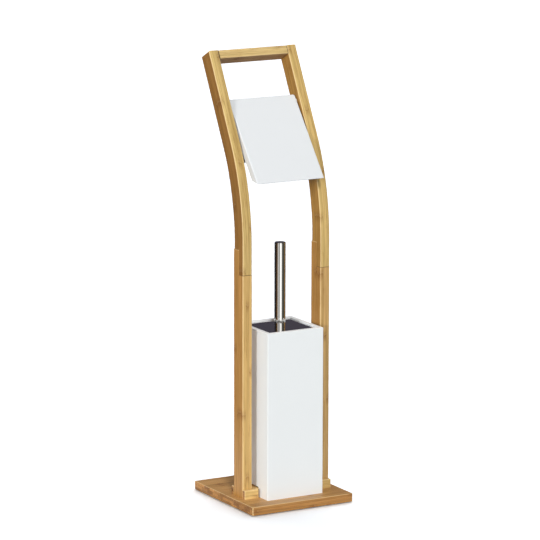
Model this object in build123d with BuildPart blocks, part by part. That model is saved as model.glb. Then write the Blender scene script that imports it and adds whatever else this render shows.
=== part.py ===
from build123d import *
from math import asin, atan2, cos, degrees, hypot, radians, sin, sqrt
import os

# Free-standing bamboo stand: a covered roll holder between the posts above, a toilet brush in a white box below.
# Millimetres, +Z up, front towards -Y. The origin is on the floor under the middle of the base plate.

# Base plate and its pads
base_width = 205
base_depth = 215
base_thickness = 15.5
base_corner = 2.0
base_edge = 1.2
pad_diameter = 18
pad_thickness = 2.0
pad_drop = 1.0
pad_inset = 24

# Posts: straight lower posts, bent upper posts, half-lapped together
clear_width = 139
upper_width = 18.8
lower_width = 19.4
post_setback = 61.5
lower_depth = 33
upper_depth = 31
lower_length = 403
lap_depth = 14
lap_length = 44.5
shoulder_to_bend = 7.5
bend_radius = 392.5
lean_angle = 27.7
upper_straight = 168.5
post_round = 2.0
end_round = 1.2

# Top rail
rail_thickness = 16
rail_round = 2.0

# Cross board: narrow under the container, with wider end blocks round the posts
block_depth = 49
block_length = 27.5
board_thickness = 16
board_round = 1.5
notch_clearance = 0.2

# Wooden dowels and screws
dowel_diameter = 6
dowel_length = 22
dowel_spacing = 15
fit_clearance = 0.05
screw_shank = 4.0
screw_head = 8.0
screw_head_rim = 0.6
screw_tip = 4.0
screw_recess = 1.2
lap_screw_length = 26
lap_screw_pitch = 22
post_screw_length = 40
post_screw_pitch = 16
board_screw_length = 25
board_screw_x = 34

# Roll cover, hung from a rod between the upper posts
cover_width = 134.8
cover_length = 171.5
cover_depth = 14.2
cover_sheet = 1.0
cover_bend = 1.6
cover_corner = 4.0
cover_taper = 15
hinge_below_top = 101
cover_above_hinge = 10.0
cover_before_hinge = 7.8
rod_diameter = 5.0
rod_seat = 8.0
spacer_diameter = 10
side_play = 0.15
running_play = 0.08

# Two-part sprung roller
roller_height = 606.5
roller_diameter = 22
roller_gap = 0.3
roller_pin_diameter = 7.0
roller_pin_length = 5.5
pin_socket_depth = 7.0
sleeve_end = 20
roller_travel = 8.0
travel_spare = 1.5
sleeve_wall = 1.4
sleeve_floor = 3.0
core_reach = 40
core_wall = 2.0
spring_pocket = 20
spring_wire = 1.2
spring_turns = 12
spring_play = 0.4
cover_rest_gap = 0.3
roller_edge = 0.5

# Brush container, its cup and the brush
container_side = 113
container_height = 302.5
container_wall = 8
container_setback = 28
container_edge = 1.2
container_rim_edge = 0.8
notch_side_play = 1.0
notch_headroom = 2.2
cup_play = 1.5
cup_wall = 2.0
cup_floor = 2.5
cup_corner = 6.0
lid_play = 0.7
lid_thickness = 1.5
lid_recess = 2.0
lid_corner = 2.0
lid_edge = 0.5
handle_diameter = 20
handle_wall = 0.8
handle_length = 152
cap_height = 3.0
cap_spigot = 10
cap_round = 1.6
insert_length = 16
stud_diameter = 8
stud_above_lid = 12
stud_below_lid = 14
stem_flange_diameter = 28
stem_flange_height = 3
stem_diameter = 14
head_core_diameter = 18
bristle_diameter = 76
bristle_height = 84
bristle_floor_gap = 7
bristle_shoulder = 5
bristle_dome = 22
bristle_gap = 0.3
core_tip_cover = 9

# Heights and places that follow from the sizes above
base_top = pad_drop + base_thickness
front_y = -base_depth / 2 + post_setback
lower_back_y = front_y + lower_depth
lap_y = front_y + lap_depth
post_x = (clear_width + upper_width) / 2
inner_x = clear_width / 2
foot_z = base_top + lower_length
shoulder_z = foot_z + lap_length
bend_z = shoulder_z + shoulder_to_bend
board_top = base_top + board_thickness
board_y = front_y + lower_depth / 2

# The bend's centre lies behind the posts, level with the start of the bend
lean = radians(lean_angle)
bend_y = front_y + bend_radius
top_y = bend_y - bend_radius * cos(lean) + upper_straight * sin(lean)
top_z = bend_z + bend_radius * sin(lean) + upper_straight * cos(lean)


def on_lean(depth, below_top):
    """Y and Z of a point this far behind the leaning front face and this far below its top end."""
    y = top_y + depth * cos(lean) - below_top * sin(lean)
    z = top_z - depth * sin(lean) - below_top * cos(lean)
    return y, z


# The rod sits in the middle of the leaning part, the roller in the middle of the bend
rod_y, rod_z = on_lean(upper_depth / 2, hinge_below_top)
roller_z = base_top + roller_height
roller_y = bend_y - sqrt((bend_radius - upper_depth / 2) ** 2 - (roller_z - bend_z) ** 2)

# The closed cover leans on the roller: this is its plate's angle from the vertical
rod_to_roller = hypot(rod_y - roller_y, rod_z - roller_z)
sight_angle = atan2(rod_y - roller_y, rod_z - roller_z)
flange_behind_rod = cover_depth - cover_before_hinge
rest_offset = roller_diameter / 2 + cover_rest_gap + flange_behind_rod
cover_angle = sight_angle + asin(rest_offset / rod_to_roller)
cover_outward = (0, -cos(cover_angle), sin(cover_angle))
cover_plane = Plane(origin=(0, rod_y, rod_z), x_dir=(1, 0, 0), z_dir=cover_outward)

# Container, cup and brush stand on one upright axis
container_y = -base_depth / 2 + container_setback + container_side / 2
container_top = base_top + container_height
container_inside = container_side - 2 * container_wall
lid_top = container_top - lid_recess
lid_bottom = lid_top - lid_thickness
cup_side = container_inside - 2 * cup_play
cup_floor_top = board_top + cup_floor
bristle_bottom = cup_floor_top + bristle_floor_gap
bristle_top = bristle_bottom + bristle_height
handle_top = lid_top + handle_length
head_core_bottom = bristle_bottom + core_tip_cover
brush_axis = Axis((0, container_y, 0), (0, 0, 1))
brush_plane = Plane(origin=(0, container_y, 0), x_dir=(1, 0, 0), z_dir=(0, -1, 0))

# The roller lies along X; its profiles are drawn as X along it and Y out from its axis
roller_axis = Axis((0, roller_y, roller_z), (1, 0, 0))
roller_plane = Plane(origin=(0, roller_y, roller_z), x_dir=(1, 0, 0), z_dir=(0, -1, 0))
roller_end = inner_x - roller_gap
pin_end = roller_end + roller_pin_length
core_shoulder = sleeve_end + roller_travel + travel_spare
core_radius = roller_diameter / 2 - sleeve_wall - running_play
sleeve_inside = -roller_end + sleeve_floor
core_inner_end = sleeve_end - core_reach
pocket_end = core_inner_end + spring_pocket
pocket_radius = core_radius - core_wall

# Fastener places
dowel_depth = upper_depth / 2
dowel_spots = [on_lean(dowel_depth + offset, rail_thickness / 2)
               for offset in (-dowel_spacing / 2, dowel_spacing / 2)]
lap_screw_zs = [foot_z + lap_length / 2 + offset for offset in (-lap_screw_pitch / 2, lap_screw_pitch / 2)]
post_screw_spots = [(side * post_x, board_y + offset)
                    for side in (-1, 1) for offset in (-post_screw_pitch / 2, post_screw_pitch / 2)]
board_screw_spots = [(side * board_screw_x, board_y) for side in (-1, 1)]
pad_spots = [(sx * (base_width / 2 - pad_inset), sy * (base_depth / 2 - pad_inset))
             for sx in (-1, 1) for sy in (-1, 1)]


def screw_shape(length, clearance=0.0, recess=False):
    """A countersunk wood screw along +Z, its flat head face at Z 0. A clearance turns it into its own hole."""
    head = screw_head / 2 + clearance
    shank = screw_shank / 2 + clearance
    cone_end = screw_head_rim + (screw_head - screw_shank) / 2
    with BuildPart() as shape:
        with BuildSketch(Plane.XZ):
            with BuildLine():
                Polyline((0, 0), (head, 0), (head, screw_head_rim), (shank, cone_end),
                         (shank, length - screw_tip), (0, length + clearance), close=True)
            make_face()
        revolve(axis=Axis.Z)
        if recess:
            for slot in ((screw_head / 2, screw_recess / 2), (screw_recess / 2, screw_head / 2)):
                with BuildSketch(Plane.XY):
                    Rectangle(*slot)
                extrude(amount=screw_recess, mode=Mode.SUBTRACT)
    return shape.part


# Screws that come up through the base, and screws that come forwards through the lap
up_from_base = [Location((x, y, pad_drop)) for x, y in post_screw_spots]
up_to_board = [Location((x, y, pad_drop)) for x, y in board_screw_spots]
lap_screw_places = [Location((side * post_x, lower_back_y, z), (90, 0, 0))
                    for side in (-1, 1) for z in lap_screw_zs]

os.makedirs("parts", exist_ok=True)

# Base plate: one laminated bamboo board with countersunk holes and pad recesses below
post_screw_hole = screw_shape(post_screw_length, fit_clearance)
board_screw_hole = screw_shape(board_screw_length, fit_clearance)
with BuildPart() as base_plate:
    with BuildSketch(Plane.XY.offset(pad_drop)):
        RectangleRounded(base_width, base_depth, base_corner)
    extrude(amount=base_thickness)
    fillet(base_plate.edges().group_by(Axis.Z)[0] + base_plate.edges().group_by(Axis.Z)[-1], base_edge)
    with Locations(*up_from_base):
        add(post_screw_hole, mode=Mode.SUBTRACT)
    with Locations(*up_to_board):
        add(board_screw_hole, mode=Mode.SUBTRACT)
    with BuildSketch(Plane.XY.offset(pad_drop)):
        with Locations(*pad_spots):
            Circle(pad_diameter / 2 + fit_clearance)
    extrude(amount=pad_thickness - pad_drop, mode=Mode.SUBTRACT)
base_plate.part.label = "base_plate"
export_step(base_plate.part, "parts/base_plate.step")

# Four rubber pads, half sunk in the plate
with BuildPart() as base_pads:
    with BuildSketch(Plane.XY):
        with Locations(*pad_spots):
            Circle(pad_diameter / 2)
    extrude(amount=pad_thickness)
base_pads.part.label = "base_pads"
export_step(base_pads.part, "parts/base_pads.step")

# Cross board: runs through the container's notches and holds the posts in its end blocks
post_outer_x = post_x + lower_width / 2
notch_depth = lower_width + notch_clearance
with BuildPart() as cross_board:
    with BuildSketch(Plane.XY.offset(base_top)):
        with Locations((0, board_y)):
            Rectangle(2 * post_outer_x, lower_depth)
        with Locations(*[(side * (post_outer_x - block_length / 2), board_y) for side in (-1, 1)]):
            Rectangle(block_length, block_depth)
    extrude(amount=board_thickness)
    fillet(cross_board.edges().filter_by(Axis.Z).group_by(Axis.X)[0], board_round)
    fillet(cross_board.edges().filter_by(Axis.Z).group_by(Axis.X)[-1], board_round)
    fillet(cross_board.faces().sort_by(Axis.Z)[-1].edges(), board_round)
    with BuildSketch(Plane.XY.offset(base_top)):
        with Locations(*[(side * (post_outer_x - notch_depth / 2), board_y) for side in (-1, 1)]):
            Rectangle(notch_depth, lower_depth + 2 * notch_clearance)
    extrude(amount=board_thickness, mode=Mode.SUBTRACT)
    with Locations(*up_to_board):
        add(board_screw_hole, mode=Mode.SUBTRACT)
cross_board.part.label = "cross_board"
export_step(cross_board.part, "parts/cross_board.step")

# Lower posts: full section up to the lap, then a rear tongue that the upper post is screwed to
lap_screw_hole = screw_shape(lap_screw_length, fit_clearance)
for side, sign in (("left", -1), ("right", 1)):
    with BuildPart() as lower_post:
        with BuildSketch(Plane.YZ.offset(sign * post_x - lower_width / 2)):
            with BuildLine():
                Polyline((front_y, base_top), (front_y, foot_z), (lap_y, foot_z), (lap_y, shoulder_z),
                         (lower_back_y, shoulder_z), (lower_back_y, base_top), close=True)
            make_face()
        extrude(amount=lower_width)
        uprights = lower_post.edges().filter_by(Axis.Z)
        fillet(uprights.group_by(Axis.Y)[0] + uprights.group_by(Axis.Y)[-1], post_round)
        back_top = lower_post.edges().group_by(Axis.Z)[-1].sort_by(Axis.Y)[-1]
        fillet(back_top, end_round)
        with Locations(*up_from_base):
            add(post_screw_hole, mode=Mode.SUBTRACT)
        with Locations(*lap_screw_places):
            add(lap_screw_hole, mode=Mode.SUBTRACT)
    lower_post.part.label = f"lower_post_{side}"
    export_step(lower_post.part, f"parts/lower_post_{side}.step")

# Upper posts: front leg of the lap, the bend, and the straight part that leans back
back_radius = bend_radius - upper_depth
upper_back_y = front_y + upper_depth
bend_end_front = (bend_y - bend_radius * cos(lean), bend_z + bend_radius * sin(lean))
bend_end_back = (bend_y - back_radius * cos(lean), bend_z + back_radius * sin(lean))
for side, sign in (("left", -1), ("right", 1)):
    with BuildPart() as upper_post:
        with BuildSketch(Plane.YZ.offset(sign * post_x - upper_width / 2)):
            with BuildLine():
                Polyline((upper_back_y, bend_z), (upper_back_y, shoulder_z), (lap_y, shoulder_z),
                         (lap_y, foot_z), (front_y, foot_z), (front_y, bend_z))
                CenterArc((bend_y, bend_z), bend_radius, 180, -lean_angle)
                Polyline(bend_end_front, on_lean(0, 0), on_lean(upper_depth, 0), bend_end_back)
                CenterArc((bend_y, bend_z), back_radius, 180, -lean_angle)
            make_face()
        extrude(amount=upper_width)
        side_edges = upper_post.faces().filter_by(Axis.X).edges()
        long_edges = side_edges.filter_by(lambda e: abs(e.center().Y - lap_y) > fit_clearance)
        long_edges = long_edges.filter_by(lambda e: abs(e.tangent_at(0.5).Z) > sin(lean))
        fillet(long_edges, post_round)
        foot_edges = upper_post.edges().group_by(Axis.Z)[0]
        fillet(foot_edges.sort_by(Axis.Y)[0], end_round)
        with BuildSketch(Plane.YZ.offset(sign * inner_x)):
            with Locations((rod_y, rod_z)):
                Circle(rod_diameter / 2 + fit_clearance)
        extrude(amount=sign * rod_seat, mode=Mode.SUBTRACT)
        with BuildSketch(Plane.YZ.offset(sign * inner_x)):
            with Locations((roller_y, roller_z)):
                Circle(roller_pin_diameter / 2 + running_play)
        extrude(amount=sign * pin_socket_depth, mode=Mode.SUBTRACT)
        with BuildSketch(Plane.YZ.offset(sign * inner_x)):
            with Locations(*dowel_spots):
                Circle(dowel_diameter / 2 + fit_clearance)
        extrude(amount=sign * dowel_length / 2, mode=Mode.SUBTRACT)
        with Locations(*lap_screw_places):
            add(lap_screw_hole, mode=Mode.SUBTRACT)
    upper_post.part.label = f"upper_post_{side}"
    export_step(upper_post.part, f"parts/upper_post_{side}.step")

# Top rail: glued and dowelled between the posts' top ends, tilted with them
with BuildPart() as top_rail:
    with BuildSketch(Plane.YZ.offset(-inner_x)):
        with BuildLine():
            Polyline(on_lean(0, 0), on_lean(upper_depth, 0), on_lean(upper_depth, rail_thickness),
                     on_lean(0, rail_thickness), close=True)
        make_face()
    extrude(amount=clear_width)
    fillet(top_rail.edges().filter_by(Axis.X), rail_round)
    for end in (-1, 1):
        with BuildSketch(Plane.YZ.offset(end * inner_x)):
            with Locations(*dowel_spots):
                Circle(dowel_diameter / 2 + fit_clearance)
        extrude(amount=-end * dowel_length / 2, mode=Mode.SUBTRACT)
top_rail.part.label = "top_rail"
export_step(top_rail.part, "parts/top_rail.step")

# Four beech dowels, half in the rail and half in the posts
with BuildPart() as rail_dowels:
    for end in (-1, 1):
        with BuildSketch(Plane.YZ.offset(end * inner_x)):
            with Locations(*dowel_spots):
                Circle(dowel_diameter / 2)
        extrude(amount=dowel_length / 2, both=True)
rail_dowels.part.label = "rail_dowels"
export_step(rail_dowels.part, "parts/rail_dowels.step")

# Screws: two through each lap, two up into each post, two up into the cross board
lap_screw = screw_shape(lap_screw_length, recess=True)
with BuildPart() as lap_screws:
    with Locations(*lap_screw_places):
        add(lap_screw)
lap_screws.part.label = "lap_screws"
export_step(lap_screws.part, "parts/lap_screws.step")

post_screw = screw_shape(post_screw_length, recess=True)
with BuildPart() as post_screws:
    with Locations(*up_from_base):
        add(post_screw)
post_screws.part.label = "post_screws"
export_step(post_screws.part, "parts/post_screws.step")

board_screw = screw_shape(board_screw_length, recess=True)
with BuildPart() as board_screws:
    with Locations(*up_to_board):
        add(board_screw)
board_screws.part.label = "board_screws"
export_step(board_screws.part, "parts/board_screws.step")

# Roll cover: a bent sheet with a top return and two side flanges, open below and behind
cover_up = Axis(cover_plane.origin, cover_plane.y_dir)
cover_out = Axis(cover_plane.origin, cover_plane.z_dir)
cover_foot = cover_above_hinge - cover_length
with BuildPart() as roll_cover:
    with BuildSketch(cover_plane.offset(cover_before_hinge)):
        with Locations((0, (cover_above_hinge + cover_foot) / 2)):
            Rectangle(cover_width, cover_length)
    extrude(amount=-cover_depth)
    fillet(roll_cover.edges().filter_by(cover_out).group_by(cover_up)[-1], cover_corner)
    plate_face = roll_cover.faces().sort_by(cover_out)[-1]
    bends = plate_face.edges().sort_by(cover_up)[1:]
    fillet(bends, cover_bend)
    back_face = roll_cover.faces().sort_by(cover_out)[0]
    bottom_face = roll_cover.faces().sort_by(cover_up)[0]
    offset(amount=-cover_sheet, openings=[back_face, bottom_face])
    with BuildSketch(Plane.YZ):
        with BuildLine():
            out, up = cover_plane.z_dir, cover_plane.y_dir
            hinge = cover_plane.origin
            tip = hinge + out * (cover_before_hinge - cover_sheet) + up * cover_foot
            back = hinge - out * flange_behind_rod * 2 + up * cover_foot
            taper_top = hinge - out * flange_behind_rod + up * (cover_foot + cover_taper)
            Polyline((tip.Y, tip.Z), (back.Y, back.Z), (taper_top.Y, taper_top.Z), close=True)
        make_face()
    extrude(amount=cover_width, both=True, mode=Mode.SUBTRACT)
    with BuildSketch(Plane.YZ):
        with Locations((rod_y, rod_z)):
            Circle(rod_diameter / 2 + running_play)
    extrude(amount=cover_width, both=True, mode=Mode.SUBTRACT)
roll_cover.part.label = "roll_cover"
export_step(roll_cover.part, "parts/roll_cover.step")

# Hinge rod: a plain steel rod held in blind holes in both upper posts
with BuildPart() as cover_hinge_rod:
    with BuildSketch(Plane.YZ):
        with Locations((rod_y, rod_z)):
            Circle(rod_diameter / 2)
    extrude(amount=inner_x + rod_seat, both=True)
cover_hinge_rod.part.label = "cover_hinge_rod"
export_step(cover_hinge_rod.part, "parts/cover_hinge_rod.step")

# Two nylon spacers keep the cover off the posts
spacer_length = inner_x - cover_width / 2 - side_play
with BuildPart() as hinge_spacers:
    for end in (-1, 1):
        with BuildSketch(Plane.YZ.offset(end * inner_x)):
            with Locations((rod_y, rod_z)):
                Circle(spacer_diameter / 2)
                Circle(rod_diameter / 2 + fit_clearance, mode=Mode.SUBTRACT)
        extrude(amount=-end * spacer_length)
hinge_spacers.part.label = "hinge_spacers"
export_step(hinge_spacers.part, "parts/hinge_spacers.step")

# Roller sleeve: the wide tube with a closed end and a pin for the left post
with BuildPart() as roller_sleeve:
    with BuildSketch(roller_plane):
        with BuildLine():
            Polyline((-pin_end, 0), (-pin_end, roller_pin_diameter / 2), (-roller_end, roller_pin_diameter / 2),
                     (-roller_end, roller_diameter / 2), (sleeve_end, roller_diameter / 2),
                     (sleeve_end, roller_diameter / 2 - sleeve_wall),
                     (sleeve_inside, roller_diameter / 2 - sleeve_wall), (sleeve_inside, 0), close=True)
        make_face()
    revolve(axis=roller_axis)
    rims = roller_sleeve.edges().filter_by(GeomType.CIRCLE)
    fillet(rims.filter_by(lambda e: abs(e.radius - roller_diameter / 2) < fit_clearance), roller_edge)
roller_sleeve.part.label = "roller_sleeve"
export_step(roller_sleeve.part, "parts/roller_sleeve.step")

# Roller core: slides into the sleeve against the spring, with a pin for the right post
with BuildPart() as roller_core:
    with BuildSketch(roller_plane):
        with BuildLine():
            Polyline((pin_end, 0), (pin_end, roller_pin_diameter / 2), (roller_end, roller_pin_diameter / 2),
                     (roller_end, roller_diameter / 2), (core_shoulder, roller_diameter / 2),
                     (core_shoulder, core_radius), (core_inner_end, core_radius),
                     (core_inner_end, pocket_radius), (pocket_end, pocket_radius), (pocket_end, 0), close=True)
        make_face()
    revolve(axis=roller_axis)
    rims = roller_core.edges().filter_by(GeomType.CIRCLE)
    fillet(rims.filter_by(lambda e: abs(e.radius - roller_diameter / 2) < fit_clearance), roller_edge)
roller_core.part.label = "roller_core"
export_step(roller_core.part, "parts/roller_core.step")

# Coil spring between the sleeve's closed end and the bottom of the core's pocket
coil_radius = pocket_radius - spring_play - spring_wire / 2
coil_start = sleeve_inside + spring_wire / 2
coil_length = pocket_end - sleeve_inside - spring_wire
coil_plane = Plane(origin=(coil_start, roller_y, roller_z), x_dir=(0, 1, 0), z_dir=(1, 0, 0))
coil_path = coil_plane.location * Helix(coil_length / spring_turns, coil_length, coil_radius)
with BuildPart() as roller_spring:
    with BuildSketch(Plane(origin=coil_path @ 0, z_dir=coil_path % 0)):
        Circle(spring_wire / 2)
    sweep(path=coil_path, is_frenet=True)
roller_spring.part.label = "roller_spring"
export_step(roller_spring.part, "parts/roller_spring.step")

# Brush container: a square lacquered box with no bottom, notched to sit over the cross board
with BuildPart() as brush_container:
    with BuildSketch(Plane.XY.offset(base_top)):
        with Locations((0, container_y)):
            Rectangle(container_side, container_side)
            Rectangle(container_inside, container_inside, mode=Mode.SUBTRACT)
    extrude(amount=container_height)
    corners = brush_container.edges().filter_by(Axis.Z)
    fillet(corners.filter_by(lambda e: abs(e.center().X) > container_inside / 2 + container_edge), container_edge)
    fillet(brush_container.edges().group_by(Axis.Z)[-1], container_rim_edge)
    with BuildSketch(Plane.YZ):
        with Locations((board_y, base_top + (board_thickness + notch_headroom) / 2)):
            Rectangle(lower_depth + 2 * notch_side_play, board_thickness + notch_headroom)
    extrude(amount=container_side, both=True, mode=Mode.SUBTRACT)
brush_container.part.label = "brush_container"
export_step(brush_container.part, "parts/brush_container.step")

# Cup: a square plastic insert that stands on the cross board and catches the drips
with BuildPart() as brush_cup:
    with BuildSketch(Plane.XY.offset(board_top)):
        with Locations((0, container_y)):
            RectangleRounded(cup_side, cup_side, cup_corner)
    extrude(amount=lid_bottom - board_top)
    with BuildSketch(Plane.XY.offset(cup_floor_top)):
        with Locations((0, container_y)):
            RectangleRounded(cup_side - 2 * cup_wall, cup_side - 2 * cup_wall, cup_corner - cup_wall)
    extrude(amount=lid_bottom - cup_floor_top, mode=Mode.SUBTRACT)
    fillet(brush_cup.faces().sort_by(Axis.Z)[0].edges(), cup_wall)
brush_cup.part.label = "brush_cup"
export_step(brush_cup.part, "parts/brush_cup.step")

# Lid: a square steel plate on the cup's rim, clamped between the handle and the brush stem
lid_side = container_inside - 2 * lid_play
with BuildPart() as brush_lid:
    with BuildSketch(Plane.XY.offset(lid_bottom)):
        with Locations((0, container_y)):
            RectangleRounded(lid_side, lid_side, lid_corner)
            Circle(stud_diameter / 2 + fit_clearance, mode=Mode.SUBTRACT)
    extrude(amount=lid_thickness)
    fillet(brush_lid.faces().sort_by(Axis.Z)[-1].outer_wire().edges(), lid_edge)
brush_lid.part.label = "brush_lid"
export_step(brush_lid.part, "parts/brush_lid.step")

# Handle: a stainless tube that stands on the lid
tube_inside = handle_diameter / 2 - handle_wall
with BuildPart() as brush_handle:
    with BuildSketch(Plane.XY.offset(lid_top)):
        with Locations((0, container_y)):
            Circle(handle_diameter / 2)
            Circle(tube_inside, mode=Mode.SUBTRACT)
    extrude(amount=handle_length - cap_height)
brush_handle.part.label = "brush_handle"
export_step(brush_handle.part, "parts/brush_handle.step")

# Cap: closes the tube's top with a spigot
with BuildPart() as handle_cap:
    with BuildSketch(Plane.XY.offset(handle_top - cap_height)):
        with Locations((0, container_y)):
            Circle(handle_diameter / 2)
    extrude(amount=cap_height)
    fillet(handle_cap.edges().group_by(Axis.Z)[-1], cap_round)
    with BuildSketch(Plane.XY.offset(handle_top - cap_height)):
        with Locations((0, container_y)):
            Circle(tube_inside - fit_clearance)
    extrude(amount=-cap_spigot)
handle_cap.part.label = "handle_cap"
export_step(handle_cap.part, "parts/handle_cap.step")

# Threaded insert pressed in the tube's foot
with BuildPart() as handle_insert:
    with BuildSketch(Plane.XY.offset(lid_top)):
        with Locations((0, container_y)):
            Circle(tube_inside - fit_clearance)
    extrude(amount=insert_length)
    with BuildSketch(Plane.XY.offset(lid_top)):
        with Locations((0, container_y)):
            Circle(stud_diameter / 2 + fit_clearance)
    extrude(amount=stud_above_lid, mode=Mode.SUBTRACT)
handle_insert.part.label = "handle_insert"
export_step(handle_insert.part, "parts/handle_insert.step")

# Stud: joins handle, lid and stem
with BuildPart() as handle_stud:
    with BuildSketch(Plane.XY.offset(lid_bottom - stud_below_lid)):
        with Locations((0, container_y)):
            Circle(stud_diameter / 2)
    extrude(amount=stud_below_lid + lid_thickness + stud_above_lid)
handle_stud.part.label = "handle_stud"
export_step(handle_stud.part, "parts/handle_stud.step")

# Stem: flange under the lid, rod, and the thicker core that the bristles are set in
with BuildPart() as brush_stem:
    with BuildSketch(brush_plane):
        with BuildLine():
            Polyline((stud_diameter / 2 + fit_clearance, lid_bottom), (stem_flange_diameter / 2, lid_bottom),
                     (stem_flange_diameter / 2, lid_bottom - stem_flange_height),
                     (stem_diameter / 2, lid_bottom - 2 * stem_flange_height),
                     (stem_diameter / 2, bristle_top + stem_flange_height),
                     (head_core_diameter / 2, bristle_top),
                     (head_core_diameter / 2, head_core_bottom), (0, head_core_bottom),
                     (0, lid_bottom - stud_below_lid),
                     (stud_diameter / 2 + fit_clearance, lid_bottom - stud_below_lid), close=True)
        make_face()
    revolve(axis=brush_axis)
brush_stem.part.label = "brush_stem"
export_step(brush_stem.part, "parts/brush_stem.step")

# Bristles: one plain soft solid of the head's outer shape, round the core and under its end
with BuildPart() as bristles:
    with BuildSketch(brush_plane):
        with BuildLine():
            Polyline((0, bristle_bottom), (0, head_core_bottom - bristle_gap),
                     (head_core_diameter / 2 + bristle_gap, head_core_bottom - bristle_gap),
                     (head_core_diameter / 2 + bristle_gap, bristle_top),
                     (bristle_diameter / 2 - bristle_shoulder, bristle_top),
                     (bristle_diameter / 2, bristle_top - bristle_shoulder),
                     (bristle_diameter / 2, bristle_bottom + bristle_dome))
            TangentArc((0, bristle_bottom), (bristle_diameter / 2, bristle_bottom + bristle_dome), tangent=(1, 0))
        make_face()
    revolve(axis=brush_axis)
bristles.part.label = "bristles"
export_step(bristles.part, "parts/bristles.step")

# Places that the record repeats
print("rod", rod_y, rod_z, "roller", roller_y, roller_z, "cover angle", degrees(cover_angle))
print("top", top_y, top_z, "container y", container_y, "lid top", lid_top, "handle top", handle_top)
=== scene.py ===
import math

import bpy
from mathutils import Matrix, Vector


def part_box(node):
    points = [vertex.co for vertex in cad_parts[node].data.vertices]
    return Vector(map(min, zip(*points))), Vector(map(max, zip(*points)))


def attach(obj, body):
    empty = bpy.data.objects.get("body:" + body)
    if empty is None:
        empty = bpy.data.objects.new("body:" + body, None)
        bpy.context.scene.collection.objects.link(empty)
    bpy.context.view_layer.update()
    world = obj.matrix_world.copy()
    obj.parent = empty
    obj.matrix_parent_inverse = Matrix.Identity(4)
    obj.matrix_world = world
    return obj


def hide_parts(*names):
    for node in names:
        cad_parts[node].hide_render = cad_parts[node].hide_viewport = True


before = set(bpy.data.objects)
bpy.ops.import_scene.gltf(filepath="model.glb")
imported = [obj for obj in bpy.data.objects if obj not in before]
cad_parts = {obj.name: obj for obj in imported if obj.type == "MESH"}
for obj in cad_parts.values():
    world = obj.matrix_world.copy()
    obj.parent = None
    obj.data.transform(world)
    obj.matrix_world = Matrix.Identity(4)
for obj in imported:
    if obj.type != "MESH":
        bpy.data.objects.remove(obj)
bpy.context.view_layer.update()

# The view of the photograph: a long lens, far off to the left of the stand's front and a little above it.
# The numbers come from fitting the corners of the base, the posts and the container to the picture.
view_azimuth = math.radians(-29.655)
view_elevation = math.radians(11.32)
view_roll = math.radians(0.106)
view_distance = 6.3513
view_lens = 238.28
level_right = Vector((math.cos(view_azimuth), math.sin(view_azimuth), 0))
view_back = Vector((math.sin(view_azimuth) * math.cos(view_elevation),
                    -math.cos(view_azimuth) * math.cos(view_elevation),
                    math.sin(view_elevation)))
level_up = view_back.cross(level_right)
view_right = level_right * math.cos(view_roll) + level_up * math.sin(view_roll)
view_up = level_up * math.cos(view_roll) - level_right * math.sin(view_roll)
view_target = Vector((0, 0, 0.401)) + view_right * -0.00634 + view_up * 0.01301
lens = bpy.data.cameras.new("photo_camera")
lens.lens = view_lens
lens.sensor_width = 36
camera = bpy.data.objects.new("photo_camera", lens)
bpy.context.scene.collection.objects.link(camera)
camera.rotation_mode = "QUATERNION"
camera.location = view_target + view_back * view_distance
turn = camera.rotation_quaternion.to_matrix()
for row in range(3):
    turn[row] = (view_right[row], view_up[row], view_back[row])
camera.rotation_quaternion = turn.to_quaternion()
bpy.context.scene.camera = camera
bpy.context.scene.view_settings.view_transform = "Standard"


# The studio: a white sweep, a low key light from the left, a steeper front light and a weak one from behind.
# The sweep is white to the camera, mirrors and glass, and a light of its own draws the plate's soft shadow.
def shade(red, green, blue):
    """A colour given as it shows on screen, 0 to 255, turned into the linear values that the nodes use."""
    linear = []
    for part in (red, green, blue):
        part = part / 255
        linear.append(part / 12.92 if part <= 0.04045 else ((part + 0.055) / 1.055) ** 2.4)
    return (*linear, 1)


def feed(tree, socket, value):
    """Sets a node's input to a plain value, or links it to another node's output."""
    if isinstance(value, bpy.types.NodeSocket):
        tree.links.new(value, socket)
    else:
        socket.default_value = value


def add_node(tree, kind, inputs=None, **settings):
    """A new node with its settings and inputs."""
    made = tree.nodes.new(kind)
    for name, value in settings.items():
        setattr(made, name, value)
    for name, value in (inputs or {}).items():
        feed(tree, made.inputs[name], value)
    return made


def calc(tree, operation, first, second=0.0, third=0.0):
    """One step of arithmetic on single numbers."""
    made = tree.nodes.new("ShaderNodeMath")
    made.operation = operation
    for socket, value in zip(made.inputs, (first, second, third)):
        feed(tree, socket, value)
    return made.outputs[0]


def background_rays(tree):
    """1 for what the camera, mirrors and glass see, 0 for the light that falls on things."""
    path = add_node(tree, "ShaderNodeLightPath")
    seen = calc(tree, "ADD", path.outputs["Is Camera Ray"], path.outputs["Is Glossy Ray"])
    seen = calc(tree, "ADD", seen, path.outputs["Is Transmission Ray"])
    return calc(tree, "MINIMUM", seen, 1.0)


sky_level = 0.29
world = bpy.data.worlds.new("studio_air")
bpy.context.scene.world = world
world.use_nodes = True
air = world.node_tree
air.nodes.clear()
soft_light = add_node(air, "ShaderNodeBackground", {"Color": (1, 1, 1, 1), "Strength": sky_level})
white_wall = add_node(air, "ShaderNodeBackground", {"Color": (1, 1, 1, 1), "Strength": 1.0})
either = add_node(air, "ShaderNodeMixShader", {0: background_rays(air), 1: soft_light.outputs[0],
                                               2: white_wall.outputs[0]})
add_node(air, "ShaderNodeOutputWorld", {"Surface": either.outputs[0]})

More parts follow.
